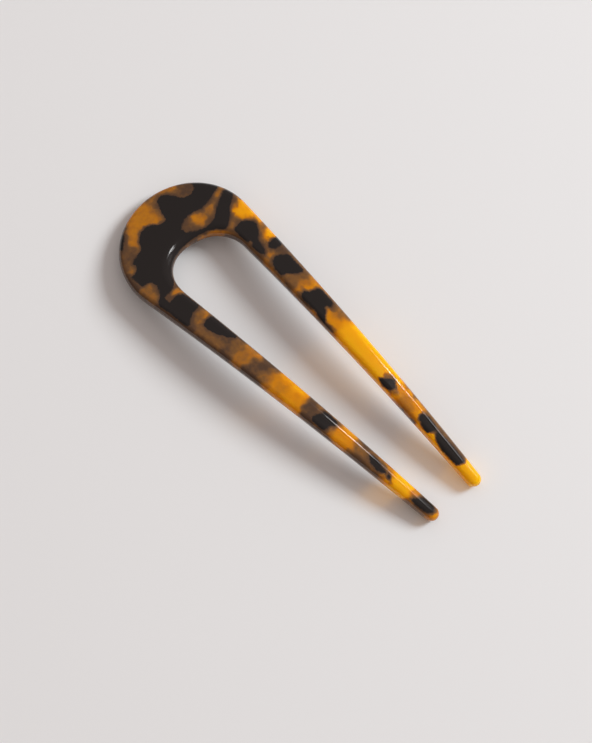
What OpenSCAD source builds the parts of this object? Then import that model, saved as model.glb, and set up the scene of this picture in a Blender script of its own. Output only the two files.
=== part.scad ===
// A one-piece hairpin: a broad bow and two tapering prongs, cut from one sheet of acetate,
// tumbled until every edge is round, and bent lengthways into a gentle arch.
// It lies arch up. The edge of the bow and both tips touch Z = 0, X runs from the bow to the
// tips, and the outline is first drawn flat, with X = 0 at the outer edge of the bow.

/* [Bow] */
// Length of the flat blank, from the outer edge of the bow to the longer tip
blank_length = 105; // [95:1:125]
// Radius of the outer edge of the bow
bow_radius = 17; // [16:0.1:20]
// Width of the bow at its middle, from the outer edge to the opening
bow_band = 16.5; // [12:0.1:20]
// Radius of the round end of the opening
opening_radius = 9; // [7:0.1:11]
// How far the round end of the opening bulges past its circle, towards the shorter prong
opening_bulge = 1.1; // [0:0.1:1.5]
// Angle at which the bulge starts, from where it runs round to the shorter prong
bulge_start = 160; // [140:5:200]
// How much wider than the other edges the opening's is rounded, where it faces the tips
opening_flare = 1.3; // [0:0.1:1.5]
// How much deeper than the other edges the opening's is rounded there, on the upper side
opening_roll = 0.6; // [0:0.1:0.7]

/* [Prongs] */
// Distance between the centres of the two tips
tip_spacing = 12.6; // [10:0.1:18]
// Width of a prong at its tip
tip_width = 3.4; // [3.2:0.1:5]
// How much shorter the prong on the -Y side is
shorter_by = 1.5; // [0:0.1:3]

/* [Sheet] */
// Thickness of the sheet
thickness = 4; // [3.8:0.1:5]
// Radius to which the edges are rounded
edge_round = 1.5; // [0.5:0.1:1.5]
// Radius of the lengthways bend, at the middle of the sheet
bend_radius = 225; // [180:5:600]

/* [Smoothness] */
// Steps round the bow
bow_steps = 28; // [16:2:40]
// Steps along each prong
prong_steps = 11; // [6:1:20]
// Steps from the side of a tip to its end
tip_steps = 5; // [3:1:8]
// Steps round each edge
edge_steps = 4; // [2:1:6]
// Columns across the flat faces
face_columns = 4; // [2:1:6]

/* [Hidden] */

tip_radius = tip_width / 2;
bow_centre = [bow_radius, 0];
opening_centre = [bow_band + opening_radius, 0];

// Outline points are [x, y, x of the outward normal, y of the outward normal, width of the rounding,
// its depth on the upper side]
function on_circle(centre, radius, angle, side = 1) = [centre.x + radius * cos(angle),
    centre.y + radius * sin(angle), side * cos(angle), side * sin(angle), edge_round, edge_round];
function arc(centre, radius, from, to, steps, side = 1) =
    [for (i = [0:steps]) on_circle(centre, radius, from + (to - from) * i / steps, side)];
function without_ends(points) = [for (i = [1:len(points) - 2]) points[i]];
function line(from, to, steps) = [for (i = [0:steps]) from + (to - from) * i / steps];
function backwards(points) = [for (i = [len(points) - 1:-1:0]) points[i]];
function mirrored(points) = [for (p = points) [p.x, -p.y, p[2], -p[3], p[4], p[5]]];

// A prong's edges are the lines that touch the tip's circle and the bow's or the opening's.
// Each function takes how much the prong is cut short, and gives the +Y side.
function tip_centre(cut) = [blank_length - cut - tip_radius, tip_spacing / 2];
function touch_angle(from, to, reach) =
    atan2(to.y - from.y, to.x - from.x) + acos(reach / norm(to - from));
function outer_angle(cut) = touch_angle(bow_centre, tip_centre(cut), bow_radius - tip_radius);
function inner_angle(cut) = touch_angle(opening_centre, tip_centre(cut), opening_radius + tip_radius);
function tip_end_angle(cut) = (outer_angle(cut) + inner_angle(cut) - 180) / 2;

// From the end of a tip, along one side of the prong, to where that side meets the arc
function outer_side(cut) = let (tip = tip_centre(cut), a = outer_angle(cut)) concat(
    arc(tip, tip_radius, tip_end_angle(cut), a, tip_steps),
    without_ends(line(on_circle(tip, tip_radius, a), on_circle(bow_centre, bow_radius, a), prong_steps)));
function inner_side(cut) = let (tip = tip_centre(cut), a = inner_angle(cut)) concat(
    arc(tip, tip_radius, tip_end_angle(cut), a - 180, tip_steps),
    without_ends(line(on_circle(tip, tip_radius, a - 180),
        on_circle(opening_centre, opening_radius, a, -1), prong_steps)));

// The round end of the opening, which bulges from bulge_start to the shorter prong. The radius there
// grows and falls as a squared sine, and growth is how fast it does so with the angle. The rounding
// widens and deepens towards the middle of the bow by facing, the cosine of the angle from there.
function opening_point(angle) = let (
    share = max(0, (angle - bulge_start) / (360 - inner_angle(shorter_by) - bulge_start)),
    radius = opening_radius + opening_bulge * pow(sin(180 * share), 2),
    growth = opening_bulge * sin(360 * share) * 180 / (360 - inner_angle(shorter_by) - bulge_start),
    out = radius * [cos(angle), sin(angle)] + growth * [sin(angle), -cos(angle)],
    facing = max(0, -cos(angle)))
    [opening_centre.x + radius * cos(angle), radius * sin(angle), -out.x / norm(out), -out.y / norm(out),
        edge_round + opening_flare * facing, edge_round + opening_roll * facing];
function opening_arc(from, to, steps) = [for (i = [0:steps]) opening_point(from + (to - from) * i / steps)];

// Both edges run from the -Y tip round the bow to the +Y tip, with the same number of points
outer_edge = concat(mirrored(outer_side(shorter_by)),
    arc(bow_centre, bow_radius, 360 - outer_angle(shorter_by), outer_angle(0), bow_steps),
    backwards(outer_side(0)));
inner_edge = concat(mirrored(inner_side(shorter_by)),
    opening_arc(360 - inner_angle(shorter_by), inner_angle(0), bow_steps),
    backwards(inner_side(0)));
last = len(outer_edge) - 1;
loop = concat(outer_edge, backwards(without_ends(inner_edge)));
loop_count = len(loop);

// The rounded edge from the lower face to the upper one, as [share of the rounding's width, share of
// its depth, 1 on the upper side or 0 on the lower one]
corner = [for (i = [0:edge_steps]) let (a = 90 * i / edge_steps) [1 - sin(a), 1 - cos(a)]];
edge_profile = concat([for (p = corner) [p[0], p[1], 0]], [for (p = backwards(corner)) [p[0], p[1], 1]]);
edge_last = len(edge_profile) - 1;

// The lengthways bend. The shorter tip would hang clear by tip_lift, so its prong leans down by that.
function degrees(radians) = radians * 180 / PI;
edge_height = bend_radius - thickness / 2 + edge_round;
half_reach = blank_length / 2 - edge_round;
rest_height = edge_height * cos(degrees(half_reach / bend_radius)) - edge_round;
tip_lift = edge_height * cos(degrees((half_reach - shorter_by) / bend_radius)) - edge_round - rest_height;
function lean(x, y) = tip_lift * x / (blank_length - shorter_by) * (0.5 - y / tip_spacing);
function bent(x, y, z) = let (turn = degrees((x - blank_length / 2) / bend_radius), r = bend_radius + z)
    [r * sin(turn), y, r * cos(turn) - rest_height - lean(x, y)];

// Points: one loop for each step of the edge profile, then the inner columns of both flat faces
function inside(p, share) = [p.x - p[2] * p[4] * share, p.y - p[3] * p[4] * share];
function profile_height(p, share, top) =
    top == 1 ? thickness / 2 - p[5] * share : edge_round * share - thickness / 2;
function edge_point(p, step) = let (s = edge_profile[step], q = inside(p, s[0]))
    bent(q.x, q.y, profile_height(p, s[1], s[2]));
function face_point(j, c, z) = let (
    a = inside(outer_edge[j], 1), b = inside(inner_edge[j], 1), q = a + (b - a) * c / face_columns)
    bent(q.x, q.y, z);
edge_points = [for (step = [0:edge_last]) for (p = loop) edge_point(p, step)];
face_points = [for (z = [-thickness / 2, thickness / 2]) for (j = [1:last - 1]) for (c = [1:face_columns - 1])
    face_point(j, c, z)];

// Numbers of the points, with the flat faces as top = 0 or 1
function edge_index(k, step) = step * loop_count + (k + loop_count) % loop_count;
function face_index(j, c, top) =
    j == 0 || j == last || c == 0 ? edge_index(j, top * edge_last)
    : c == face_columns ? edge_index(-j, top * edge_last)
    : len(edge_points) + ((top * (last - 1)) + j - 1) * (face_columns - 1) + c - 1;
function two_triangles(a, b, c, d) = [if (b != c) [a, b, c], if (a != d) [a, c, d]];
edge_faces = [for (step = [0:edge_last - 1]) for (k = [0:loop_count - 1])
    each two_triangles(edge_index(k, step), edge_index(k + 1, step),
        edge_index(k + 1, step + 1), edge_index(k, step + 1))];
upper_faces = [for (j = [0:last - 1]) for (c = [0:face_columns - 1])
    each two_triangles(face_index(j, c, 1), face_index(j + 1, c, 1),
        face_index(j + 1, c + 1, 1), face_index(j, c + 1, 1))];
lower_faces = [for (j = [0:last - 1]) for (c = [0:face_columns - 1])
    for (t = two_triangles(face_index(j, c, 0), face_index(j + 1, c, 0),
        face_index(j + 1, c + 1, 0), face_index(j, c + 1, 0))) backwards(t)];

// Bow and prongs in one piece of mottled amber acetate
module hairpin() {
    color([0.55, 0.32, 0.08])
        polyhedron(points = concat(edge_points, face_points),
            faces = concat(edge_faces, upper_faces, lower_faces), convexity = 6);
}

hairpin();
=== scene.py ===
"""A one-piece tortoiseshell acetate hairpin. It lies arch up on a pale table, under one soft
light from the side. The pin's surface is worked out from the flat blank's outline, its rounded
edge and its lengthways bend. The pattern is charted on the flat blank, and runs through the sheet."""
import math

import bpy
import numpy as np
from mathutils import Matrix, Vector


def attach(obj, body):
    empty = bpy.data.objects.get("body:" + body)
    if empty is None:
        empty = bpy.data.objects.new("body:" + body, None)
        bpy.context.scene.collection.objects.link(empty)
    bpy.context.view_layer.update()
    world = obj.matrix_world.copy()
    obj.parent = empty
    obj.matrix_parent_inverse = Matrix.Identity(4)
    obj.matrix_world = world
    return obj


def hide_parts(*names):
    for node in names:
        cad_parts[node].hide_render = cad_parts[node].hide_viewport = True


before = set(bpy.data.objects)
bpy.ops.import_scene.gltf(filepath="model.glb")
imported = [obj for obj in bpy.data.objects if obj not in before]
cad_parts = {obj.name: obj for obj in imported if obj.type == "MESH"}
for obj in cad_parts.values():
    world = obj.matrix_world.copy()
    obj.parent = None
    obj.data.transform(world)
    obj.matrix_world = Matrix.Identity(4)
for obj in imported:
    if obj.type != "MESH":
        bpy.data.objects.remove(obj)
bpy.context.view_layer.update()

MM = 0.001

# The sheet's sizes, in millimetres, as the solid has them
BLANK_LENGTH = 105.0
BOW_RADIUS = 17.0
# Width of the bow at its middle, from its outer edge to the opening
BOW_BAND = 16.5
OPENING_RADIUS = 9.0
# How far the round end of the opening bulges past its circle, and the angle where that starts
OPENING_BULGE = 1.1
BULGE_START = 160.0
# How much wider and deeper the opening's edge is rounded than the others, where it faces the tips
OPENING_FLARE = 1.3
OPENING_ROLL = 0.6
# Distance between the centres of the two tips
TIP_SPACING = 12.6
TIP_RADIUS = 1.7
# How much shorter the prong on the -Y side is
SHORTER_BY = 1.5
THICKNESS = 4.0
EDGE_ROUND = 1.5
# Radius of the lengthways bend, at the middle of the sheet
BEND_RADIUS = 225.0

# How finely the surface is drawn: steps round the bow, along each prong, from the side of a tip to
# its end and round each quarter of an edge, and columns across the flat faces
BOW_STEPS = 170
PRONG_STEPS = 230
TIP_STEPS = 14
EDGE_STEPS = 16
FACE_COLUMNS = 28


# Columns of an outline of the flat blank: x and y, the outward normal's x and y, the width of the
# rounding, and its depth on the upper side
PLACE, NORMAL, WIDTH, DEPTH = slice(0, 2), slice(2, 4), slice(4, 5), slice(5, 6)
# What each column is multiplied by to carry an outline over to the -Y side
MIRROR = np.array([1, -1, 1, -1, 1, 1])


def arc(centre, radius, start, end, steps, side=1.0):
    """Points on a circle at even angles from start to end, in degrees. The normal is the
    direction from the centre, turned inwards when side is -1."""
    angle = np.radians(np.linspace(start, end, steps + 1))
    out = np.stack([np.cos(angle), np.sin(angle)], axis=1)
    rounding = np.full((steps + 1, 2), EDGE_ROUND)
    return np.hstack([np.array(centre) + radius * out, side * out, rounding])


def straight(start, end, steps):
    """Even steps along the line between two outline points, without its ends."""
    return np.linspace(start, end, steps + 1)[1:-1]


def touch_angle(centre, tip, reach):
    """Where the line that touches two circles leaves the first one: the direction from one
    centre to the other, plus the angle whose cosine is reach over their distance. Reach is the
    difference of the radii for an outer edge, and their sum for an inner one."""
    away = tip - centre
    return math.degrees(math.atan2(away[1], away[0]) + math.acos(reach / math.hypot(*away)))


def opening_arc(centre, start, end, steps):
    """The round end of the opening: a circle whose radius grows by the bulge times the squared
    sine of the way from the bulge's start to the shorter prong. The normal is square to it, and
    the rounding widens and deepens towards the middle of the bow as the cosine of the angle
    from there."""
    angle = np.linspace(start, end, steps + 1)
    span = start - BULGE_START
    share = np.clip((angle - BULGE_START) / span, 0, 1)
    radius = OPENING_RADIUS + OPENING_BULGE * np.sin(np.pi * share) ** 2
    growth = OPENING_BULGE * np.pi * np.sin(2 * np.pi * share) / math.radians(span)
    cos, sin = np.cos(np.radians(angle)), np.sin(np.radians(angle))
    out = np.stack([radius * cos + growth * sin, radius * sin - growth * cos], axis=1)
    out /= np.linalg.norm(out, axis=1, keepdims=True)
    place = np.array(centre) + radius[:, None] * np.stack([cos, sin], axis=1)
    facing = np.maximum(0, -cos)[:, None]
    rounding = EDGE_ROUND + np.array([OPENING_FLARE, OPENING_ROLL]) * facing
    return np.hstack([place, -out, rounding])


def blank_edges():
    """The outer and inner edges of the blank, from the -Y tip round the bow to the +Y tip, with
    as many points on one as on the other: tip arc, touching line, bow, line and tip arc."""
    bow_centre = np.array([BOW_RADIUS, 0.0])
    opening_centre = np.array([BOW_BAND + OPENING_RADIUS, 0.0])

    def side(cut):
        """The +Y prong's outer and inner edges, from the end of its tip, when it is cut short by
        so much, and the angles at which they meet the bow and the opening."""
        tip = np.array([BLANK_LENGTH - cut - TIP_RADIUS, TIP_SPACING / 2])
        outer_turn = touch_angle(bow_centre, tip, BOW_RADIUS - TIP_RADIUS)
        inner_turn = touch_angle(opening_centre, tip, OPENING_RADIUS + TIP_RADIUS)
        end = (outer_turn + inner_turn - 180) / 2
        outer_tip = arc(tip, TIP_RADIUS, end, outer_turn, TIP_STEPS)
        inner_tip = arc(tip, TIP_RADIUS, end, inner_turn - 180, TIP_STEPS)
        outer_start = arc(bow_centre, BOW_RADIUS, outer_turn, outer_turn, 0)[0]
        inner_start = arc(opening_centre, OPENING_RADIUS, inner_turn, inner_turn, 0, -1)[0]
        outer = np.vstack([outer_tip, straight(outer_tip[-1], outer_start, PRONG_STEPS)])
        inner = np.vstack([inner_tip, straight(inner_tip[-1], inner_start, PRONG_STEPS)])
        return outer, inner, outer_turn, inner_turn

    long_outer, long_inner, long_outer_turn, long_inner_turn = side(0.0)
    short_outer, short_inner, short_outer_turn, short_inner_turn = side(SHORTER_BY)
    bow = arc(bow_centre, BOW_RADIUS, 360 - short_outer_turn, long_outer_turn, BOW_STEPS)
    opening = opening_arc(opening_centre, 360 - short_inner_turn, long_inner_turn, BOW_STEPS)
    outer = np.vstack([short_outer * MIRROR, bow, long_outer[::-1]])
    inner = np.vstack([short_inner * MIRROR, opening, long_inner[::-1]])
    return outer, inner


def bent(sheet):
    """The flat sheet rolled lengthways round a cylinder of the bend radius: a point's way along
    the blank becomes an angle, and its height is added to the radius. The whole is lowered until
    it rests, and the shorter prong leans down by the lift that its tip would have."""
    x, y, z = sheet.T
    edge_height = BEND_RADIUS - THICKNESS / 2 + EDGE_ROUND
    half_reach = BLANK_LENGTH / 2 - EDGE_ROUND
    rest = edge_height * math.cos(half_reach / BEND_RADIUS) - EDGE_ROUND
    lift = edge_height * math.cos((half_reach - SHORTER_BY) / BEND_RADIUS) - EDGE_ROUND - rest
    lean = lift * x / (BLANK_LENGTH - SHORTER_BY) * (0.5 - y / TIP_SPACING)
    turn = (x - BLANK_LENGTH / 2) / BEND_RADIUS
    radius = BEND_RADIUS + z
    return np.stack([radius * np.sin(turn), y, radius * np.cos(turn) - rest - lean], axis=1)


def moved_in(outline, share):
    """An outline's points moved inwards by a share of the rounding's width."""
    return outline[:, PLACE] - outline[:, NORMAL] * outline[:, WIDTH] * share


def with_heights(places, heights):
    """Points from a grid of places and the heights that go with them."""
    heights = np.broadcast_to(heights, places.shape[:2])[..., None]
    return np.concatenate([places, heights], axis=2).reshape(-1, 3)


def as_quads(*corners):
    """Quads from four grids, each with the number of one corner."""
    return np.stack(corners, axis=-1).reshape(-1, 4)


def rounded_edge(loop):
    """The edge of the blank, as points and quads, ring by ring from the lower face to the upper
    one: the outline's loop times a profile made of a quarter circle, a short upright and a
    quarter circle."""
    turn = np.linspace(0, np.pi / 2, EDGE_STEPS + 1)
    inset, sunk = 1 - np.sin(turn), 1 - np.cos(turn)
    rings = moved_in(loop, np.r_[inset, inset[::-1]][:, None, None])
    lower = np.outer(sunk, np.full(len(loop), EDGE_ROUND)) - THICKNESS / 2
    upper = THICKNESS / 2 - np.outer(sunk[::-1], loop[:, DEPTH])
    points = with_heights(rings, np.vstack([lower, upper]))
    number = np.arange(len(points)).reshape(-1, len(loop))
    number = np.hstack([number, number[:, :1]])
    return points, as_quads(number[:-1, :-1], number[:-1, 1:], number[1:, 1:], number[1:, :-1])


def face_places(outer, inner):
    """Places inside a flat face: straight columns between the outer and inner edges, closer
    together towards the inner one, as the sine of their share of a quarter turn."""
    share = np.sin(np.pi / 2 * np.arange(1, FACE_COLUMNS) / FACE_COLUMNS)[None, :, None]
    from_outer = moved_in(outer, 1)[1:-1, None]
    from_inner = moved_in(inner, 1)[1:-1, None]
    return from_outer + (from_inner - from_outer) * share


def flat_face(ring, ring_count, first, rows, columns):
    """Quads of a flat face, on a grid of points' numbers. Down its sides are the outer edge and
    the inner one, which are the start and the end of the ring of points at its height, and the
    face's own points, numbered from first, are between them. Its two ends close on the tips, a
    point each."""
    number = np.empty((rows + 2, columns + 2), int)
    number[:] = ring + np.arange(rows + 2)[:, None]
    number[1:-1, 1:-1] = first + np.arange(rows * columns).reshape(rows, columns)
    number[1:-1, -1] = ring + ring_count - np.arange(1, rows + 1)
    return as_quads(number[:-1, :-1], number[1:, :-1], number[1:, 1:], number[:-1, 1:])


def sheet_surface():
    """The whole surface of the flat blank, as points and triangles: its rounded edge, and the
    lower and upper faces, which share the edge's first and last rings."""
    outer, inner = blank_edges()
    loop = np.vstack([outer, inner[-2:0:-1]])
    edge, edge_quads = rounded_edge(loop)
    places = face_places(outer, inner)
    rows, columns = places.shape[:2]
    lower_quads = flat_face(0, len(loop), len(edge), rows, columns)
    upper_quads = flat_face(len(edge) - len(loop), len(loop), len(edge) + rows * columns, rows, columns)
    lower = with_heights(places, -THICKNESS / 2)
    upper = with_heights(places, THICKNESS / 2)
    quads = np.vstack([edge_quads, lower_quads[:, ::-1], upper_quads])
    triangles = np.vstack([quads[:, [0, 1, 2]], quads[:, [0, 2, 3]]])
    # A quad that closes on a tip gives one triangle without any area, which is left out
    whole = (triangles != np.roll(triangles, 1, axis=1)).all(axis=1)
    return np.vstack([edge, lower, upper]), triangles[whole]


# The pattern is charted on the flat blank's upper face, in millimetres. An outline is a
# list of its corners, as x from the bow's outer edge and y from the middle line.

# Near-black patches, each an outline
BLACK = [
    # bow, longer side, from the outer edge to the middle
    [(5.4, 12.2), (8.2, 15.2), (11.4, 17.0), (11.6, 14.4), (12.1, 12.5), (12.5, 10.5), (12.6, 8.6),
     (11.9, 7.2), (11.5, 5.6), (11.6, 3.8), (12.3, 2.2), (13.2, 1.2), (14.6, -1.0), (13.0, -4.0),
     (9.0, -3.6), (8.0, -1.2), (8.4, 0.2), (8.1, 1.1), (6.0, 1.6), (4.4, 2.2), (3.0, 2.9), (2.5, 3.9),
     (2.7, 4.8), (3.6, 5.8), (5.2, 6.5), (6.8, 7.3), (7.8, 8.8), (7.8, 10.2), (7.2, 11.3), (5.8, 11.6)],
    # bow, between the streak and the opening
    [(13.0, 17.6), (14.8, 17.6), (15.7, 16.3), (16.7, 14.6), (17.5, 13.2), (18.8, 12.0), (19.7, 10.8),
     (20.3, 9.8), (21.0, 8.6), (19.2, 7.1), (18.0, 5.2), (17.3, 3.1), (16.9, 0.6), (16.9, -3.0),
     (12.6, -3.0), (13.2, 1.0), (14.4, 1.8), (15.2, 3.0), (16.0, 4.2), (16.6, 5.5), (17.0, 7.0),
     (16.8, 8.6), (16.0, 10.0), (15.0, 11.4), (14.3, 12.8), (13.6, 14.4), (13.0, 15.6)],
    # bow, middle and shorter side
    [(8.4, 0.6), (13.4, 1.6), (16.9, 1.4), (16.9, -2.0), (17.6, -4.6), (18.8, -6.5), (20.2, -7.8),
     (21.6, -8.9), (22.3, -10.4), (22.5, -12.0), (22.6, -13.4), (24.9, -13.8), (24.9, -15.5),
     (23.2, -15.7), (22.2, -15.1), (21.7, -14.1), (20.4, -13.1), (19.0, -12.5), (17.4, -12.8),
     (16.9, -13.6), (16.8, -15.0), (13.0, -15.1), (12.9, -14.0), (12.5, -12.8), (11.8, -12.2),
     (10.8, -12.5), (10.2, -11.6), (9.9, -10.0), (9.6, -8.7), (8.9, -7.9), (7.5, -7.3), (6.7, -6.4),
     (6.0, -5.1), (6.0, -3.9), (6.7, -2.3), (8.0, -1.2)],
    # bow, sliver along the outer edge
    [(2.8, -8.2), (3.8, -8.8), (5.0, -10.0), (6.0, -11.1), (6.3, -11.8), (5.2, -12.2), (3.8, -10.8),
     (2.4, -9.4)],
    # longer prong, from the bow to the tip
    [(22.6, 13.2), (23.4, 13.9), (24.0, 14.4), (25.4, 14.4), (26.2, 13.9), (26.9, 13.4), (27.5, 12.8),
     (28.0, 12.1), (28.8, 11.8), (30.0, 11.6), (31.0, 11.3), (31.7, 10.8), (32.0, 10.2), (31.4, 9.7),
     (30.0, 9.5), (28.6, 9.6), (27.7, 10.5), (27.2, 10.4), (26.9, 9.6), (24.2, 9.5), (22.6, 9.7),
     (22.1, 10.4), (22.1, 11.4), (22.0, 12.3)],
    [(30.8, 16.5), (33.4, 16.3), (33.3, 14.6), (32.9, 13.2), (32.3, 12.3), (31.4, 12.2), (30.8, 12.8),
     (30.7, 14.2)],
    [(36.1, 14.1), (37.6, 14.1), (39.2, 13.8), (41.2, 13.8), (41.6, 13.2), (41.0, 12.2), (40.2, 11.3),
     (39.2, 10.5), (38.8, 9.5), (38.2, 9.1), (36.8, 9.2), (35.4, 9.7), (34.5, 10.4), (34.3, 11.4),
     (34.7, 12.6), (35.4, 13.3)],
    [(47.0, 12.8), (48.0, 13.1), (51.0, 12.9), (52.1, 12.5), (52.3, 11.6), (51.3, 11.0), (51.2, 10.3),
     (52.2, 9.8), (52.4, 9.2), (53.0, 8.7), (54.0, 8.1), (55.3, 7.8), (56.6, 7.4), (55.8, 7.2),
     (54.0, 7.2), (51.8, 7.7), (50.6, 8.2), (49.0, 8.2), (46.3, 8.2), (45.5, 8.5), (45.1, 9.2),
     (45.2, 10.0), (46.1, 10.8), (46.4, 11.6)],
    [(71.6, 7.1), (72.4, 7.7), (73.2, 8.3), (73.9, 9.0), (74.5, 9.2), (75.2, 8.8), (75.8, 8.0),
     (75.6, 7.3), (75.2, 6.5), (73.8, 6.3), (72.4, 6.6)],
    [(84.4, 8.3), (85.4, 8.5), (86.2, 8.7), (88.8, 8.4), (89.4, 8.0), (89.0, 7.4), (88.6, 6.6),
     (88.2, 5.8), (87.0, 5.8), (86.0, 6.2), (85.4, 6.7), (84.6, 6.8), (84.2, 7.5)],
    [(89.5, 7.9), (92.0, 8.0), (94.0, 7.9), (98.8, 7.5), (98.8, 7.0), (98.4, 6.3), (98.2, 5.2),
     (95.7, 5.2), (93.8, 5.3), (92.3, 5.6), (91.4, 5.9), (90.6, 6.4), (89.8, 7.2)],
    # shorter prong, from the bow to the tip
    [(24.9, -9.8), (26.2, -9.3), (28.8, -9.0), (30.0, -9.2), (30.1, -10.6), (30.1, -11.7),
     (30.8, -12.9), (31.7, -14.0), (31.6, -14.9), (30.2, -15.3), (27.0, -15.3), (25.4, -15.5),
     (23.4, -15.8), (22.4, -15.2), (22.4, -14.2), (23.6, -14.0), (24.3, -13.6), (24.2, -11.6),
     (24.5, -10.6)],
    [(33.6, -9.2), (34.1, -8.7), (36.1, -8.5), (38.8, -8.4), (41.8, -8.3), (41.6, -9.1), (41.1, -9.5),
     (40.2, -10.3), (39.1, -10.8), (38.3, -11.4), (37.2, -11.6), (35.9, -11.9), (35.0, -12.2),
     (34.1, -11.9), (33.7, -11.2), (33.6, -10.2)],
    [(68.2, -7.1), (70.0, -6.7), (72.2, -6.8), (72.2, -8.1), (71.4, -8.9), (71.2, -10.2),
     (70.8, -10.9), (69.0, -11.0), (67.6, -10.9), (67.1, -10.3), (67.4, -9.2), (68.0, -8.2)],
    [(82.4, -6.8), (84.0, -6.6), (85.2, -6.7), (86.5, -7.3), (87.5, -7.2), (87.9, -7.6), (87.3, -8.0),
     (86.5, -8.4), (85.7, -8.6), (84.8, -8.4), (83.8, -8.3), (83.0, -7.8), (82.4, -7.3)],
    [(88.6, -7.3), (89.0, -7.3), (89.2, -7.8), (88.9, -8.0), (88.5, -7.7)],
    [(78.4, -10.6), (81.0, -10.0), (84.0, -9.7), (87.0, -9.4), (87.6, -9.9), (84.0, -10.8),
     (80.0, -11.4)],
    [(96.1, -7.8), (96.3, -7.1), (97.1, -6.5), (97.6, -5.6), (97.7, -4.6), (100.8, -4.3),
     (101.5, -5.2), (101.5, -6.3), (101.0, -7.1), (99.8, -7.7), (98.2, -8.0), (97.0, -8.0)],
]

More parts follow.
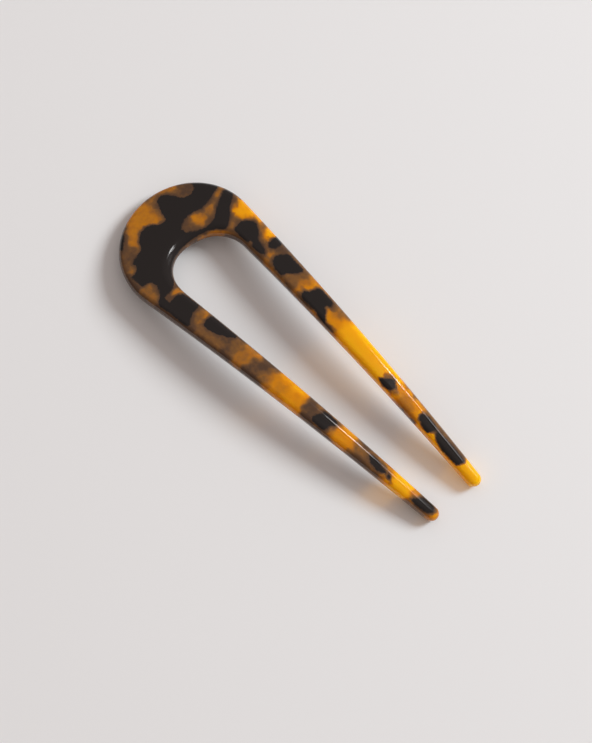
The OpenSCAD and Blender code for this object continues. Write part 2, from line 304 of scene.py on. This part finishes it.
# Ground under the patches: outlines painted over each other in this order. Tone runs from 0, clear
# yellow, over amber 1, orange-brown 2 and brown 3, to dark brown 4. Soft times GROUND_SOFTNESS is
# the width over which it fades in.
GROUND = [
    # tone, soft, outline
    # bow
    (3.5, 2.0, [(-3, -20), (24, -20), (24, 20), (-3, 20)]),
    (2.1, 0.7, [(-1.0, 3.0), (1.4, 7.4), (3.0, 8.7), (4.1, 8.2), (4.0, 7.2), (3.2, 6.5), (2.2, 5.4),
                (1.9, 4.4), (1.8, 3.0)]),
    (3.9, 0.6, [(4.6, 8.0), (6.4, 7.4), (7.8, 8.8), (7.8, 10.4), (6.0, 11.8), (4.2, 11.6),
                (4.0, 9.6)]),
    (2.9, 1.0, [(-1.0, 3.6), (2.4, 3.2), (4.4, 1.9), (8.0, 0.9), (8.4, 0.0), (6.0, -0.4),
                (-1.0, -0.6)]),
    (1.75, 1.0, [(-1.0, 0.6), (4.0, 0.4), (8.0, 0.1), (7.9, -1.2), (6.4, -2.4), (5.9, -4.0),
                 (5.9, -5.4), (6.8, -7.0), (8.6, -8.2), (9.0, -9.4), (7.4, -9.9), (5.6, -9.2),
                 (4.6, -7.9), (3.2, -7.2), (2.0, -6.5), (0.4, -5.4), (-1.0, -3.0)]),
    (3.6, 0.8, [(5.8, -9.5), (10.0, -8.8), (10.4, -12.4), (12.6, -12.8), (12.8, -14.6), (11.0, -15.0),
                (8.8, -13.6), (7.0, -11.9)]),
    (2.3, 0.8, [(10.6, -13.1), (12.4, -13.4), (12.5, -14.6), (11.2, -14.6)]),
    (4.0, 0.8, [(12.8, -15.0), (17.0, -15.0), (17.0, -18.0), (12.8, -18.0)]),
    (2.8, 0.9, [(17.3, -13.2), (18.6, -12.4), (20.2, -12.9), (21.6, -14.2), (22.2, -15.6),
                (21.6, -16.5), (17.0, -16.7), (16.8, -14.6)]),
    (2.5, 0.8, [(11.2, 17.2), (13.0, 17.2), (13.0, 15.2), (13.6, 14.0), (14.2, 12.4), (15.0, 11.0),
                (15.6, 9.6), (15.2, 8.2), (15.8, 7.0), (15.9, 5.6), (15.0, 4.5), (13.6, 4.3),
                (12.4, 4.6), (11.7, 5.6), (12.2, 7.2), (12.7, 8.6), (12.6, 10.5), (12.1, 12.4),
                (11.7, 14.2)]),
    (1.6, 0.8, [(12.2, 5.2), (13.6, 4.7), (15.0, 4.9), (15.8, 6.0), (15.4, 7.3), (14.2, 7.4),
                (12.8, 7.0)]),
    # wall of the opening
    (1.7, 0.5, [(16.9, -1.0), (17.3, 3.0), (18.4, 6.2), (20.6, 8.6), (24.4, 9.9), (29.0, 9.4),
                (28.8, 8.2), (24.6, 8.3), (21.6, 7.4), (19.6, 5.2), (18.6, 2.4), (18.2, -1.0)]),
    (1.6, 0.5, [(16.7, -0.6), (18.2, -0.6), (18.6, -3.4), (20.4, -6.6), (19.2, -7.2), (17.0, -3.8)]),
    # longer prong
    (3.2, 1.5, [(22.0, 7.0), (44.0, 6.0), (44.0, 16.0), (22.0, 18.0)]),
    (0.8, 0.8, [(16.8, 16.4), (19.0, 18.2), (26.0, 17.4), (25.8, 15.1), (24.0, 14.9), (22.8, 13.9),
                (21.8, 13.4), (20.8, 12.3), (19.8, 12.2), (18.9, 12.8), (18.0, 14.4), (17.3, 15.6)]),
    (0.0, 0.9, [(18.4, 15.2), (20.0, 15.6), (22.4, 15.4), (22.6, 14.6), (21.4, 13.7), (20.4, 12.9),
                (19.4, 13.2), (18.6, 14.2)]),
    (2.9, 0.7, [(19.8, 12.3), (21.2, 12.2), (21.6, 11.2), (21.6, 9.8), (20.8, 9.4), (20.0, 10.2),
                (19.6, 11.2)]),
    (2.9, 0.7, [(26.0, 17.4), (27.2, 17.2), (27.9, 14.6), (27.8, 13.2), (27.0, 13.6), (26.4, 14.4),
                (25.8, 15.2)]),
    (1.0, 0.7, [(27.4, 17.0), (31.3, 16.8), (31.0, 12.2), (29.4, 11.9), (28.4, 12.3), (27.8, 13.0),
                (27.8, 14.4)]),
    (0.0, 0.9, [(28.8, 14.9), (30.4, 15.0), (30.6, 13.8), (30.2, 13.0), (29.2, 13.4), (28.6, 14.2)]),
    (3.9, 0.7, [(32.4, 16.6), (35.6, 16.2), (35.8, 13.6), (34.8, 12.9), (33.6, 12.4), (32.2, 12.4)]),
    (2.1, 0.6, [(31.8, 11.9), (33.8, 11.6), (34.2, 10.2), (34.6, 9.4), (38.0, 8.6), (41.6, 8.3),
                (41.4, 7.6), (33.0, 8.2), (32.8, 9.0), (33.6, 9.8), (33.0, 10.3), (32.0, 10.8)]),
    (2.0, 0.8, [(43.0, 15.2), (46.6, 15.0), (46.9, 12.8), (46.2, 11.0), (45.2, 10.0), (45.0, 8.8),
                (45.6, 8.2), (44.0, 7.4), (42.9, 8.2), (42.6, 9.8), (43.0, 11.2), (43.4, 12.6)]),
    (1.0, 0.7, [(44.8, 12.6), (46.0, 13.4), (46.7, 12.9), (46.2, 11.2), (45.4, 10.6), (45.0, 9.2),
                (44.2, 8.9), (43.9, 10.2), (44.6, 11.0)]),
    (1.0, 1.2, [(52.4, 10.9), (54.0, 10.6), (56.2, 11.2), (57.4, 12.1), (59.4, 13.8), (60.0, 5.8),
                (57.0, 6.9), (56.2, 7.6), (54.4, 8.3), (53.0, 9.0), (52.4, 10.0)]),
    (2.8, 0.8, [(52.4, 14.4), (57.0, 13.9), (58.8, 12.6), (57.2, 11.8), (55.6, 11.0), (53.6, 10.8)]),
    (0.0, 1.2, [(59.4, 14.0), (75.4, 12.2), (76.6, 9.0), (77.8, 6.2), (77.6, 4.6), (59.0, 5.6),
                (58.2, 8.0), (57.0, 9.6), (57.4, 10.8), (58.2, 12.0)]),
    (1.0, 0.9, [(75.4, 12.0), (84.5, 11.0), (84.6, 4.2), (77.6, 4.6), (77.8, 6.2), (76.6, 9.0)]),
    (1.9, 0.8, [(78.4, 8.6), (80.0, 8.9), (81.6, 7.8), (82.6, 6.7), (84.2, 5.9), (84.0, 5.4),
                (78.8, 5.6), (78.6, 6.6)]),
    (2.8, 0.5, [(75.0, 12.0), (84.5, 11.0), (84.5, 9.4), (79.0, 10.0), (75.0, 10.7)]),
    (0.0, 0.7, [(84.0, 11.0), (106.0, 9.0), (106.0, 3.0), (84.6, 4.0), (85.0, 5.6), (84.0, 7.0)]),
    (3.4, 0.5, [(79.0, 5.5), (86.0, 5.2), (86.0, 4.2), (79.0, 4.4)]),
    (2.2, 0.6, [(89.0, 10.4), (92.4, 10.0), (92.0, 8.6), (89.4, 8.2)]),
    (3.0, 0.4, [(84.0, 10.6), (98.7, 9.4), (98.9, 7.2), (94.0, 7.6), (90.0, 7.9), (86.6, 8.5),
                (84.4, 8.9)]),
    # shorter prong
    (3.85, 1.2, [(22.0, -18.0), (44.6, -16.0), (44.6, -6.0), (25.2, -7.4), (24.0, -9.0), (22.0, -9.0)]),
    (2.1, 0.7, [(22.3, -9.2), (25.2, -8.9), (24.7, -10.0), (24.2, -11.4), (23.4, -11.9), (22.9, -11.2),
                (22.6, -10.0)]),
    (2.9, 0.8, [(30.4, -8.8), (33.6, -8.6), (33.6, -12.0), (33.0, -13.4), (32.0, -12.6), (31.0, -11.4),
                (30.6, -10.0)]),
    (2.2, 0.6, [(32.0, -8.8), (33.3, -8.8), (33.3, -10.5), (32.4, -10.3)]),
    (3.1, 0.9, [(33.4, -12.6), (36.0, -12.3), (38.4, -11.9), (41.4, -12.0), (41.4, -14.2),
                (33.4, -15.0)]),
    (3.0, 0.8, [(42.2, -9.0), (43.6, -8.4), (45.0, -8.2), (44.6, -11.0), (44.4, -13.4), (42.8, -12.4),
                (42.2, -11.0)]),
    (2.3, 0.8, [(45.2, -7.6), (48.4, -7.0), (48.0, -9.4), (47.3, -10.8), (47.5, -13.0), (48.0, -14.2),
                (45.8, -14.2), (44.6, -13.2), (44.3, -11.4), (44.6, -9.6)]),
    (3.0, 0.8, [(52.8, -6.6), (54.6, -6.6), (53.8, -9.4), (53.4, -11.0), (54.4, -14.0), (51.4, -14.0)]),
    (3.9, 0.8, [(49.6, -6.8), (53.4, -6.4), (53.0, -8.6), (52.4, -9.8), (51.8, -11.0), (52.0, -12.4),
                (53.4, -14.4), (48.2, -14.8), (47.5, -12.6), (47.8, -11.0), (48.6, -9.8),
                (49.4, -8.8)]),
    (1.0, 0.8, [(55.2, -6.0), (64.4, -5.8), (63.4, -8.4), (63.7, -9.6), (64.4, -11.2), (65.4, -13.6),
                (55.6, -14.4), (55.0, -11.0)]),
    (1.5, 0.9, [(56.2, -9.2), (58.2, -9.0), (58.8, -10.8), (57.8, -12.2), (56.0, -11.8)]),
    (0.5, 0.9, [(59.0, -7.2), (62.0, -7.0), (61.8, -8.8), (59.6, -8.8)]),
    (0.5, 0.9, [(60.0, -11.3), (62.4, -11.4), (62.8, -12.6), (60.2, -12.8)]),
    (3.9, 0.7, [(64.4, -5.8), (68.4, -5.6), (68.2, -8.0), (67.6, -9.4), (67.2, -10.4), (68.0, -11.0),
                (71.0, -11.0), (72.6, -10.8), (74.2, -11.6), (70.0, -12.4), (66.0, -12.0),
                (64.4, -11.2), (63.7, -9.6), (63.4, -8.4)]),
    (3.1, 0.6, [(64.6, -6.2), (67.8, -6.2), (67.6, -7.6), (65.0, -7.6)]),
    (1.0, 0.9, [(73.2, -5.0), (77.8, -4.8), (77.8, -11.2), (74.4, -11.4), (73.0, -10.6)]),
    (3.0, 0.9, [(78.4, -4.8), (82.0, -4.8), (85.0, -6.2), (88.0, -8.0), (86.4, -9.2), (85.6, -9.8),
                (79.0, -10.4)]),
    (3.8, 0.6, [(78.4, -5.2), (82.4, -5.0), (82.2, -6.6), (78.6, -6.7)]),
    (1.8, 0.6, [(85.2, -4.4), (88.4, -4.4), (88.2, -6.6), (86.2, -6.7)]),
    (1.2, 0.7, [(88.2, -4.4), (90.2, -4.4), (90.2, -10.6), (88.8, -10.6), (88.8, -7.0)]),
    (0.0, 0.8, [(89.8, -4.0), (95.6, -3.8), (95.6, -10.4), (89.8, -10.6)]),
    (1.6, 0.7, [(95.4, -3.6), (97.2, -3.6), (97.2, -7.0), (96.0, -8.0), (95.4, -9.6)]),
    (1.6, 0.6, [(101.2, -3.0), (106.0, -3.0), (106.0, -10.0), (101.2, -10.0)]),
    (1.0, 0.6, [(101.9, -6.2), (103.0, -6.2), (103.0, -7.6), (101.9, -7.6)]),
    (2.6, 0.6, [(95.8, -7.8), (98.0, -8.1), (101.4, -7.4), (101.8, -9.6), (95.8, -9.6)]),
]

# The pattern leans through the sheet. For each millimetre below the upper face: how far along X and
# Y the chart is read, how much a black patch draws in, and by what share the ground's tone grows. That
# growth darkens the rounded edges, walls and lower face: partly the acetate's deeper colour, partly
# painted shade.
LEAN = (0.203, -0.209)
PATCH_SHRINK = 0.6
GROUND_DEEPEN_AND_SHADE = 0.2
# Tone where no outline of the ground reaches, and how many times softer than charted they are
GROUND_START = 2.0
GROUND_SOFTNESS = 2.0
# Waves in which the ground's outlines wander along X and along Y: each is its height in
# millimetres, and how fast it turns with x and with y, in radians for each millimetre
WANDER_X = [(0.3, 0.9, 1.7), (0.18, 3.1, -2.3)]
WANDER_Y = [(0.3, 1.9, -0.8), (0.18, 2.2, 2.7)]


def outline_depth(x, y, outline):
    """How far inside an outline each point lies: the distance to the nearest side, and below
    zero outside. A point is inside when the sides cross the level line on its right an odd
    number of times."""
    distance = np.full(x.shape, np.inf)
    inside = np.zeros(x.shape, bool)
    for (x1, y1), (x2, y2) in zip(outline, outline[1:] + outline[:1]):
        side_x, side_y = x2 - x1, y2 - y1
        share = ((x - x1) * side_x + (y - y1) * side_y) / (side_x ** 2 + side_y ** 2)
        share = np.clip(share, 0, 1)
        distance = np.minimum(distance, np.hypot(x - x1 - share * side_x, y - y1 - share * side_y))
        turn = (x - x1) * side_y - side_x * (y - y1)
        inside ^= ((y1 > y) != (y2 > y)) & ((turn < 0) if y2 > y1 else (turn > 0))
    return np.where(inside, distance, -distance)


def wander(x, y, waves):
    """How far the ground's outlines are moved at each point of the sheet: the sum of sine waves,
    each its height times the sine of x and y times how fast it turns with them."""
    return sum(height * np.sin(turn_x * x + turn_y * y) for height, turn_x, turn_y in waves)


def pattern(sheet):
    """Two values for each point of the sheet: its depth inside the black patches, in
    millimetres, and the tone of the ground, whose outlines are painted over each other. A
    ground outline fades in as three times the square of the way across its edge less twice its
    cube. Lower down in the sheet the patches are smaller and the ground is darker, which is partly
    the acetate's deeper colour and partly painted shade on the edges and walls."""
    below = THICKNESS / 2 - sheet[:, 2]
    x = sheet[:, 0] + LEAN[0] * below
    y = sheet[:, 1] + LEAN[1] * below
    depth = np.max([outline_depth(x, y, outline) for outline in BLACK], axis=0)
    tone = np.full(len(sheet), GROUND_START)
    x = x + wander(x, y, WANDER_X)
    y = y + wander(x, y, WANDER_Y)
    for painted, soft, outline in GROUND:
        share = np.clip(outline_depth(x, y, outline) / (GROUND_SOFTNESS * soft) + 0.5, 0, 1)
        share = share * share * (3 - 2 * share)
        tone += (painted - tone) * share
    # The tone grows lower down: painted shade on the edges and walls, as well as the acetate's deeper
    # colour
    return depth - PATCH_SHRINK * below, tone * (1 + GROUND_DEEPEN_AND_SHADE * below)


# Materials
def link(tree, start, end):
    """Join one node's output to another's input."""
    tree.links.new(start, end)


def maths(tree, operation, first, second=None, third=None):
    """A Math node on sockets or numbers, and its result."""
    node = tree.nodes.new("ShaderNodeMath")
    node.operation = operation
    for place, value in enumerate((first, second, third)):
        if value is None:
            continue
        if isinstance(value, (int, float)):
            node.inputs[place].default_value = value
        else:
            link(tree, value, node.inputs[place])
    return node.outputs[0]


def eased(tree, value, low, high, start, end):
    """A value carried smoothly from the range low to high over to the range start to end."""
    node = tree.nodes.new("ShaderNodeMapRange")
    node.interpolation_type = "SMOOTHSTEP"
    link(tree, value, node.inputs["Value"])
    for name, number in (("From Min", low), ("From Max", high), ("To Min", start), ("To Max", end)):
        node.inputs[name].default_value = number
    return node.outputs["Result"]


def noise(tree, where, scale, detail, roughness, stretch=None):
    """Noise about zero on a coordinate, which is multiplied by stretch first if that is given."""
    if stretch:
        mapping = tree.nodes.new("ShaderNodeMapping")
        mapping.inputs["Scale"].default_value = stretch
        link(tree, where, mapping.inputs["Vector"])
        where = mapping.outputs["Vector"]
    node = tree.nodes.new("ShaderNodeTexNoise")
    node.inputs["Scale"].default_value = scale
    node.inputs["Detail"].default_value = detail
    node.inputs["Roughness"].default_value = roughness
    link(tree, where, node.inputs["Vector"])
    return maths(tree, "SUBTRACT", node.outputs["Fac"], 0.5)


def attribute(tree, name, output):
    """What the mesh carries at its points under this name."""
    node = tree.nodes.new("ShaderNodeAttribute")
    node.attribute_name = name
    return node.outputs[output]


# Linear colours of the acetate, one for each whole tone from 0 to 4
TONES = [
    (0.82, 0.400, 0.0010),
    (0.66, 0.255, 0.0015),
    (0.43, 0.156, 0.0140),
    (0.205, 0.090, 0.0260),
    (0.088, 0.046, 0.0260),
]
BLACK_COLOUR = (0.0185, 0.0145, 0.0135)
# Tone of the rim round each black patch
DARK_RIM = 3.9

# Noise over the flat sheet in millimetres: scale, detail and roughness
FEATHER = (0.55, 2.0, 0.5)
RAGGED = (1.9, 4.0, 0.6)
SHARPNESS = (0.35, 1.0, 0.5)
CLOUD = (0.8, 2.0, 0.5)
SCUFFS = (1.2, 5.0, 0.7)
SCRATCHES = (3.0, 3.0, 0.5)
SWELL = (0.18, 1.0, 0.5)
# How far feathering and raggedness shift a black patch's outline, in millimetres per unit of noise
FEATHER_SHIFT, RAGGED_SHIFT = 0.5, 0.8
# Stretch that draws the scratches out along the prongs
ALONG_PRONGS = (0.25, 6.0, 1.0)

# What eased() carries over: low and high of the value, and what they become. In order: sharpness
# noise to how steep a patch's fade is, depth in a patch to black and to the rim, the ground's tone
# to how much it is clouded, and its tone to how clear the acetate is.
STEEPNESS = (-0.18, 0.18, 0.55, 2.2)
BLACK_FADE = (-0.24, 0.16, 0.0, 1.0)
RIM_FADE = (-1.3, 0.0, 0.0, 1.0)
CLOUDING = (0.2, 2.5, 0.1, 1.5)
CLEARNESS = (0.0, 3.6, 0.9, 0.05)
# Way along the blank to what the round tips add to the share of light that passes
TIP_GLOW = (82.0, 91.0, 0.0, 0.31)

# How far light spreads inside clear acetate: shares of red, green and blue, and their unit in metres
SPREAD_COLOUR = (1.0, 0.92, 0.1)
SPREAD_REACH = 0.005
ACETATE_IOR = 1.48
# Colour and share of the light that passes each surface of clear acetate
GLOW_COLOUR = (0.82, 0.55, 0.12)
GLOW = 0.5
# Roughness of the polish and how much scuffs change it, and heights of scratches and of the swell
# that tumbling leaves, in millimetres
POLISH, SCUFFING = 0.1, 0.08
SCRATCH_HEIGHT, SWELL_HEIGHT = 0.0015, 0.06


def tone_colour(tree, tone):
    """The colour of a tone, in proportion between the two whole tones next to it."""
    share = maths(tree, "DIVIDE", tone, len(TONES) - 1)
    ramp = tree.nodes.new("ShaderNodeValToRGB")
    ramp.color_ramp.interpolation = "LINEAR"
    link(tree, share, ramp.inputs["Fac"])
    stops = ramp.color_ramp.elements
    while len(stops) < len(TONES):
        stops.new(0.5)
    for number, (stop, colour) in enumerate(zip(stops, TONES)):
        stop.position = number / (len(TONES) - 1)
        stop.color = (*colour, 1)
    return ramp.outputs["Color"]


def with_black(tree, black, colour):
    """A colour that turns near-black where black is 1."""
    node = tree.nodes.new("ShaderNodeMix")
    node.data_type = "RGBA"
    # The node keeps sockets of other types under the same names, so the colours go by their type
    first, second = [socket for socket in node.inputs if socket.type == "RGBA"]
    link(tree, black, node.inputs["Factor"])
    link(tree, colour, first)
    second.default_value = (*BLACK_COLOUR, 1)
    return next(socket for socket in node.outputs if socket.type == "RGBA")


def pattern_and_clearness(tree, sheet):
    """The pattern's colour, and how clear the acetate is. The black patches' depth, made ragged
    by noise, gives their rims, and the ground's tone, clouded by noise, gives the colour
    between them."""
    feather = noise(tree, sheet, *FEATHER)
    ragged = noise(tree, sheet, *RAGGED)
    patch_depth = attribute(tree, "patch_depth", "Fac")
    depth = maths(tree, "MULTIPLY_ADD", feather, FEATHER_SHIFT, patch_depth)
    depth = maths(tree, "MULTIPLY_ADD", ragged, RAGGED_SHIFT, depth)
    steepness = eased(tree, noise(tree, sheet, *SHARPNESS), *STEEPNESS)
    depth = maths(tree, "MULTIPLY", depth, steepness)
    black = eased(tree, depth, *BLACK_FADE)
    rim = eased(tree, depth, *RIM_FADE)
    cloud = noise(tree, sheet, *CLOUD)
    ground = attribute(tree, "ground_tone", "Fac")
    tone = maths(tree, "MULTIPLY_ADD", cloud, eased(tree, ground, *CLOUDING), ground)
    tone = maths(tree, "MULTIPLY_ADD", rim, maths(tree, "SUBTRACT", DARK_RIM, tone), tone)
    colour = with_black(tree, black, tone_colour(tree, tone))
    clear = eased(tree, tone, *CLEARNESS)
    return colour, maths(tree, "MULTIPLY", clear, maths(tree, "SUBTRACT", 1.0, black))


def light_passes(tree, sheet, shader, clear):
    """Clear acetate lets some of a shadow's light through in amber, most at the round tips: for
    shadow rays alone, the shader is mixed with a transparent one."""
    along = tree.nodes.new("ShaderNodeSeparateXYZ")
    link(tree, sheet, along.inputs["Vector"])
    passed = eased(tree, along.outputs["X"], *TIP_GLOW)
    passed = maths(tree, "MULTIPLY_ADD", clear, GLOW, passed)
    shadow = tree.nodes.new("ShaderNodeLightPath").outputs["Is Shadow Ray"]
    glow = tree.nodes.new("ShaderNodeBsdfTransparent")
    glow.inputs["Color"].default_value = (*GLOW_COLOUR, 1)
    mix = tree.nodes.new("ShaderNodeMixShader")
    share, first, second = mix.inputs
    link(tree, maths(tree, "MULTIPLY", passed, shadow), share)
    link(tree, shader.outputs["BSDF"], first)
    link(tree, glow.outputs["BSDF"], second)
    link(tree, mix.outputs["Shader"], tree.nodes["Material Output"].inputs["Surface"])


def polish(tree, sheet, shader):
    """Scuffs in the gloss, and a surface with fine scratches along the prongs and a slow swell."""
    scuffs = noise(tree, sheet, *SCUFFS)
    link(tree, maths(tree, "MULTIPLY_ADD", scuffs, SCUFFING, POLISH), shader.inputs["Roughness"])
    scratches = noise(tree, sheet, *SCRATCHES, stretch=ALONG_PRONGS)
    swell = noise(tree, sheet, *SWELL)
    height = maths(tree, "MULTIPLY", swell, SWELL_HEIGHT)
    height = maths(tree, "MULTIPLY_ADD", scratches, SCRATCH_HEIGHT, height)
    bump = tree.nodes.new("ShaderNodeBump")
    bump.inputs["Distance"].default_value = MM
    bump.inputs["Strength"].default_value = 1.0
    link(tree, height, bump.inputs["Height"])
    link(tree, bump.outputs["Normal"], shader.inputs["Normal"])


def tortoiseshell():
    """Polished tortoiseshell acetate, in whose clear parts light spreads under the surface."""
    material = bpy.data.materials.new("tortoiseshell_acetate")
    material.use_nodes = True
    tree = material.node_tree
    shader = tree.nodes["Principled BSDF"]
    sheet = attribute(tree, "sheet", "Vector")
    colour, clear = pattern_and_clearness(tree, sheet)
    link(tree, colour, shader.inputs["Base Color"])
    link(tree, clear, shader.inputs["Subsurface Weight"])
    shader.inputs["Subsurface Radius"].default_value = SPREAD_COLOUR
    shader.inputs["Subsurface Scale"].default_value = SPREAD_REACH
    shader.inputs["IOR"].default_value = ACETATE_IOR
    light_passes(tree, sheet, shader, clear)
    polish(tree, sheet, shader)
    return material


def placed(name, data):
    """A new object with this data, in the scene."""
    thing = bpy.data.objects.new(name, data)
    bpy.context.scene.collection.objects.link(thing)
    return thing


def make_hairpin():
    """The pin's mesh with its pattern, and the painted shade on its edges and walls, as attributes,
    riding on the one body.
    """
    sheet, triangles = sheet_surface()
    mesh = bpy.data.meshes.new("tortoiseshell_hairpin")
    mesh.from_pydata((bent(sheet) * MM).tolist(), [], triangles.tolist())
    mesh.polygons.foreach_set("use_smooth", np.ones(len(triangles), bool))
    depth, tone = pattern(sheet)
    for name, kind, field, values in (("sheet", "FLOAT_VECTOR", "vector", sheet),
                                      ("patch_depth", "FLOAT", "value", depth),
                                      ("ground_tone", "FLOAT", "value", tone)):
        carried = mesh.attributes.new(name, kind, "POINT")
        carried.data.foreach_set(field, values.astype(np.float32).ravel())
    mesh.update()
    mesh.materials.append(tortoiseshell())
    hairpin = placed("tortoiseshell_hairpin", mesh)
    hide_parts("hairpin")
    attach(hairpin, "root")


# Stage. Azimuths run from +X towards +Y, in degrees, and other sizes are in metres.
IMAGE_WIDTH, IMAGE_HEIGHT = 592, 743
CAMERA_AZIMUTH, CAMERA_ELEVATION = -45.76, 73.75
CAMERA_DISTANCE = 0.450
CAMERA_TARGET = Vector((0, 0, 0.005))
# Where the target shows in the picture, and how many pixels a metre takes there
TARGET_PIXEL = (297.2, 347.9)
PIXELS_PER_METRE = 4293.0
# The camera's sensor in millimetres, and the nearest that it sees
SENSOR = 36.0
NEAREST = 0.01

KEY_AZIMUTH, KEY_ELEVATION = 62.3, 37.0
# A light's spread is its two widths, each over its distance
KEY_SPREAD = (0.34, 0.42)
KEY_RADIANCE = 24.5
KEY_GLEAM = 11.0
KEY_COLOUR = (0.914, 0.971, 1.0)
# Cards that gleam along the edges: azimuth, elevation, spread and radiance
CARDS = [
    (77.5, 69.0, (0.15, 0.25), 13.5),
    (54.0, 64.2, (0.19, 0.14), 7.0),
    (84.0, 65.2, (0.12, 0.30), 3.0),
]
WHITE = (1, 1, 1)
LIGHT_DISTANCE = 1.5
SKY_COLOUR = (1.0, 0.898, 0.856)
# Radiance of the sky at the horizon and overhead
SKY_LOW, SKY_HIGH = 0.36, 0.54
# How much brighter than overhead the sky is towards +Y, and darker towards -Y
SKY_LEAN = 0.4
# How much of the sky shows in reflections
SKY_GLOSS = 0.35
# From the middle of the table top to its sides
FLOOR_HALF = 4.0
FLOOR_COLOUR = (0.80, 0.787, 0.785)
FLOOR_ROUGHNESS, FLOOR_SPECULAR = 0.9, 0.1


def direction(azimuth, elevation):
    """Unit vector at an azimuth from +X towards +Y and an elevation, in degrees."""
    turn, rise = math.radians(azimuth), math.radians(elevation)
    return Vector((math.cos(turn) * math.cos(rise), math.sin(turn) * math.cos(rise), math.sin(rise)))


def facing(target, away, distance):
    """The matrix of a camera or light that looks at a target from a distance away from it."""
    turn = (-away).to_track_quat("-Z", "Y").to_matrix().to_4x4()
    return Matrix.Translation(target + away * distance) @ turn


def make_camera():
    """The camera at the photograph's angle. Its lens gives the target's scale, and its shift puts
    the target on its pixel."""
    data = bpy.data.cameras.new("camera")
    camera = placed("camera", data)
    away = direction(CAMERA_AZIMUTH, CAMERA_ELEVATION)
    camera.matrix_world = facing(CAMERA_TARGET, away, CAMERA_DISTANCE)
    data.sensor_width = SENSOR
    data.lens = SENSOR * PIXELS_PER_METRE * CAMERA_DISTANCE / IMAGE_HEIGHT
    data.shift_x = (IMAGE_WIDTH / 2 - TARGET_PIXEL[0]) / IMAGE_HEIGHT
    data.shift_y = (TARGET_PIXEL[1] - IMAGE_HEIGHT / 2) / IMAGE_HEIGHT
    data.clip_start = NEAREST
    bpy.context.scene.camera = camera


def make_floor():
    """The pale table top, one square at the height on which the pin rests."""
    mesh = bpy.data.meshes.new("table_top")
    corners = [(x * FLOOR_HALF, y * FLOOR_HALF, 0) for x, y in ((-1, -1), (1, -1), (1, 1), (-1, 1))]
    mesh.from_pydata(corners, [], [(0, 1, 2, 3)])
    floor = placed("table_top", mesh)
    material = bpy.data.materials.new("pale_table")
    material.use_nodes = True
    shader = material.node_tree.nodes["Principled BSDF"]
    shader.inputs["Base Color"].default_value = (*FLOOR_COLOUR, 1)
    shader.inputs["Roughness"].default_value = FLOOR_ROUGHNESS
    shader.inputs["Specular IOR Level"].default_value = FLOOR_SPECULAR
    mesh.materials.append(material)


def soft_light(name, azimuth, elevation, spread, radiance, colour):
    """A round or oval area light that faces the pin. Its energy is its radiance times pi times
    the ellipse's area."""
    data = bpy.data.lights.new(name, "AREA")
    data.shape = "ELLIPSE"
    data.size = spread[0] * LIGHT_DISTANCE
    data.size_y = spread[1] * LIGHT_DISTANCE
    data.energy = radiance * math.pi * math.pi / 4 * data.size * data.size_y
    data.color = colour
    light = placed(name, data)
    light.matrix_world = facing(Vector(), direction(azimuth, elevation), LIGHT_DISTANCE)
    return light


def gleam(name, azimuth, elevation, spread, radiance):
    """A light that shows only as a gleam on the polished surface."""
    light = soft_light(name, azimuth, elevation, spread, radiance, WHITE)
    light.visible_diffuse = False


def make_lights():
    """The key gives the shadow, and its gleam is set apart from it. The cards show only as the
    bright crescent by the opening and as lines on the edges."""
    key = soft_light("soft_key", KEY_AZIMUTH, KEY_ELEVATION, KEY_SPREAD, KEY_RADIANCE, KEY_COLOUR)
    key.visible_glossy = False
    gleam("key_gleam", KEY_AZIMUTH, KEY_ELEVATION, KEY_SPREAD, KEY_GLEAM)
    for number, card in enumerate(CARDS, 1):
        gleam(f"gleam_card_{number}", *card)


def make_sky():
    """The sky grows towards the zenith and towards +Y, and is weaker in reflections."""
    world = bpy.data.worlds.new("studio")
    world.use_nodes = True
    tree = world.node_tree
    where = tree.nodes.new("ShaderNodeTexCoord")
    split = tree.nodes.new("ShaderNodeSeparateXYZ")
    link(tree, where.outputs["Generated"], split.inputs["Vector"])
    level = eased(tree, split.outputs["Z"], 0.0, 1.0, SKY_LOW, SKY_HIGH)
    mirrored = tree.nodes.new("ShaderNodeLightPath").outputs["Is Glossy Ray"]
    share = maths(tree, "MULTIPLY_ADD", mirrored, SKY_GLOSS - 1, 1.0)
    lean = maths(tree, "MULTIPLY_ADD", split.outputs["Y"], SKY_LEAN, 1.0)
    level = maths(tree, "MULTIPLY", level, lean)
    background = tree.nodes["Background"]
    background.inputs["Color"].default_value = (*SKY_COLOUR, 1)
    link(tree, maths(tree, "MULTIPLY", level, share), background.inputs["Strength"])
    bpy.context.scene.world = world


make_camera()
make_hairpin()
make_floor()
make_lights()
make_sky()
bpy.context.scene.view_settings.view_transform = "Standard"
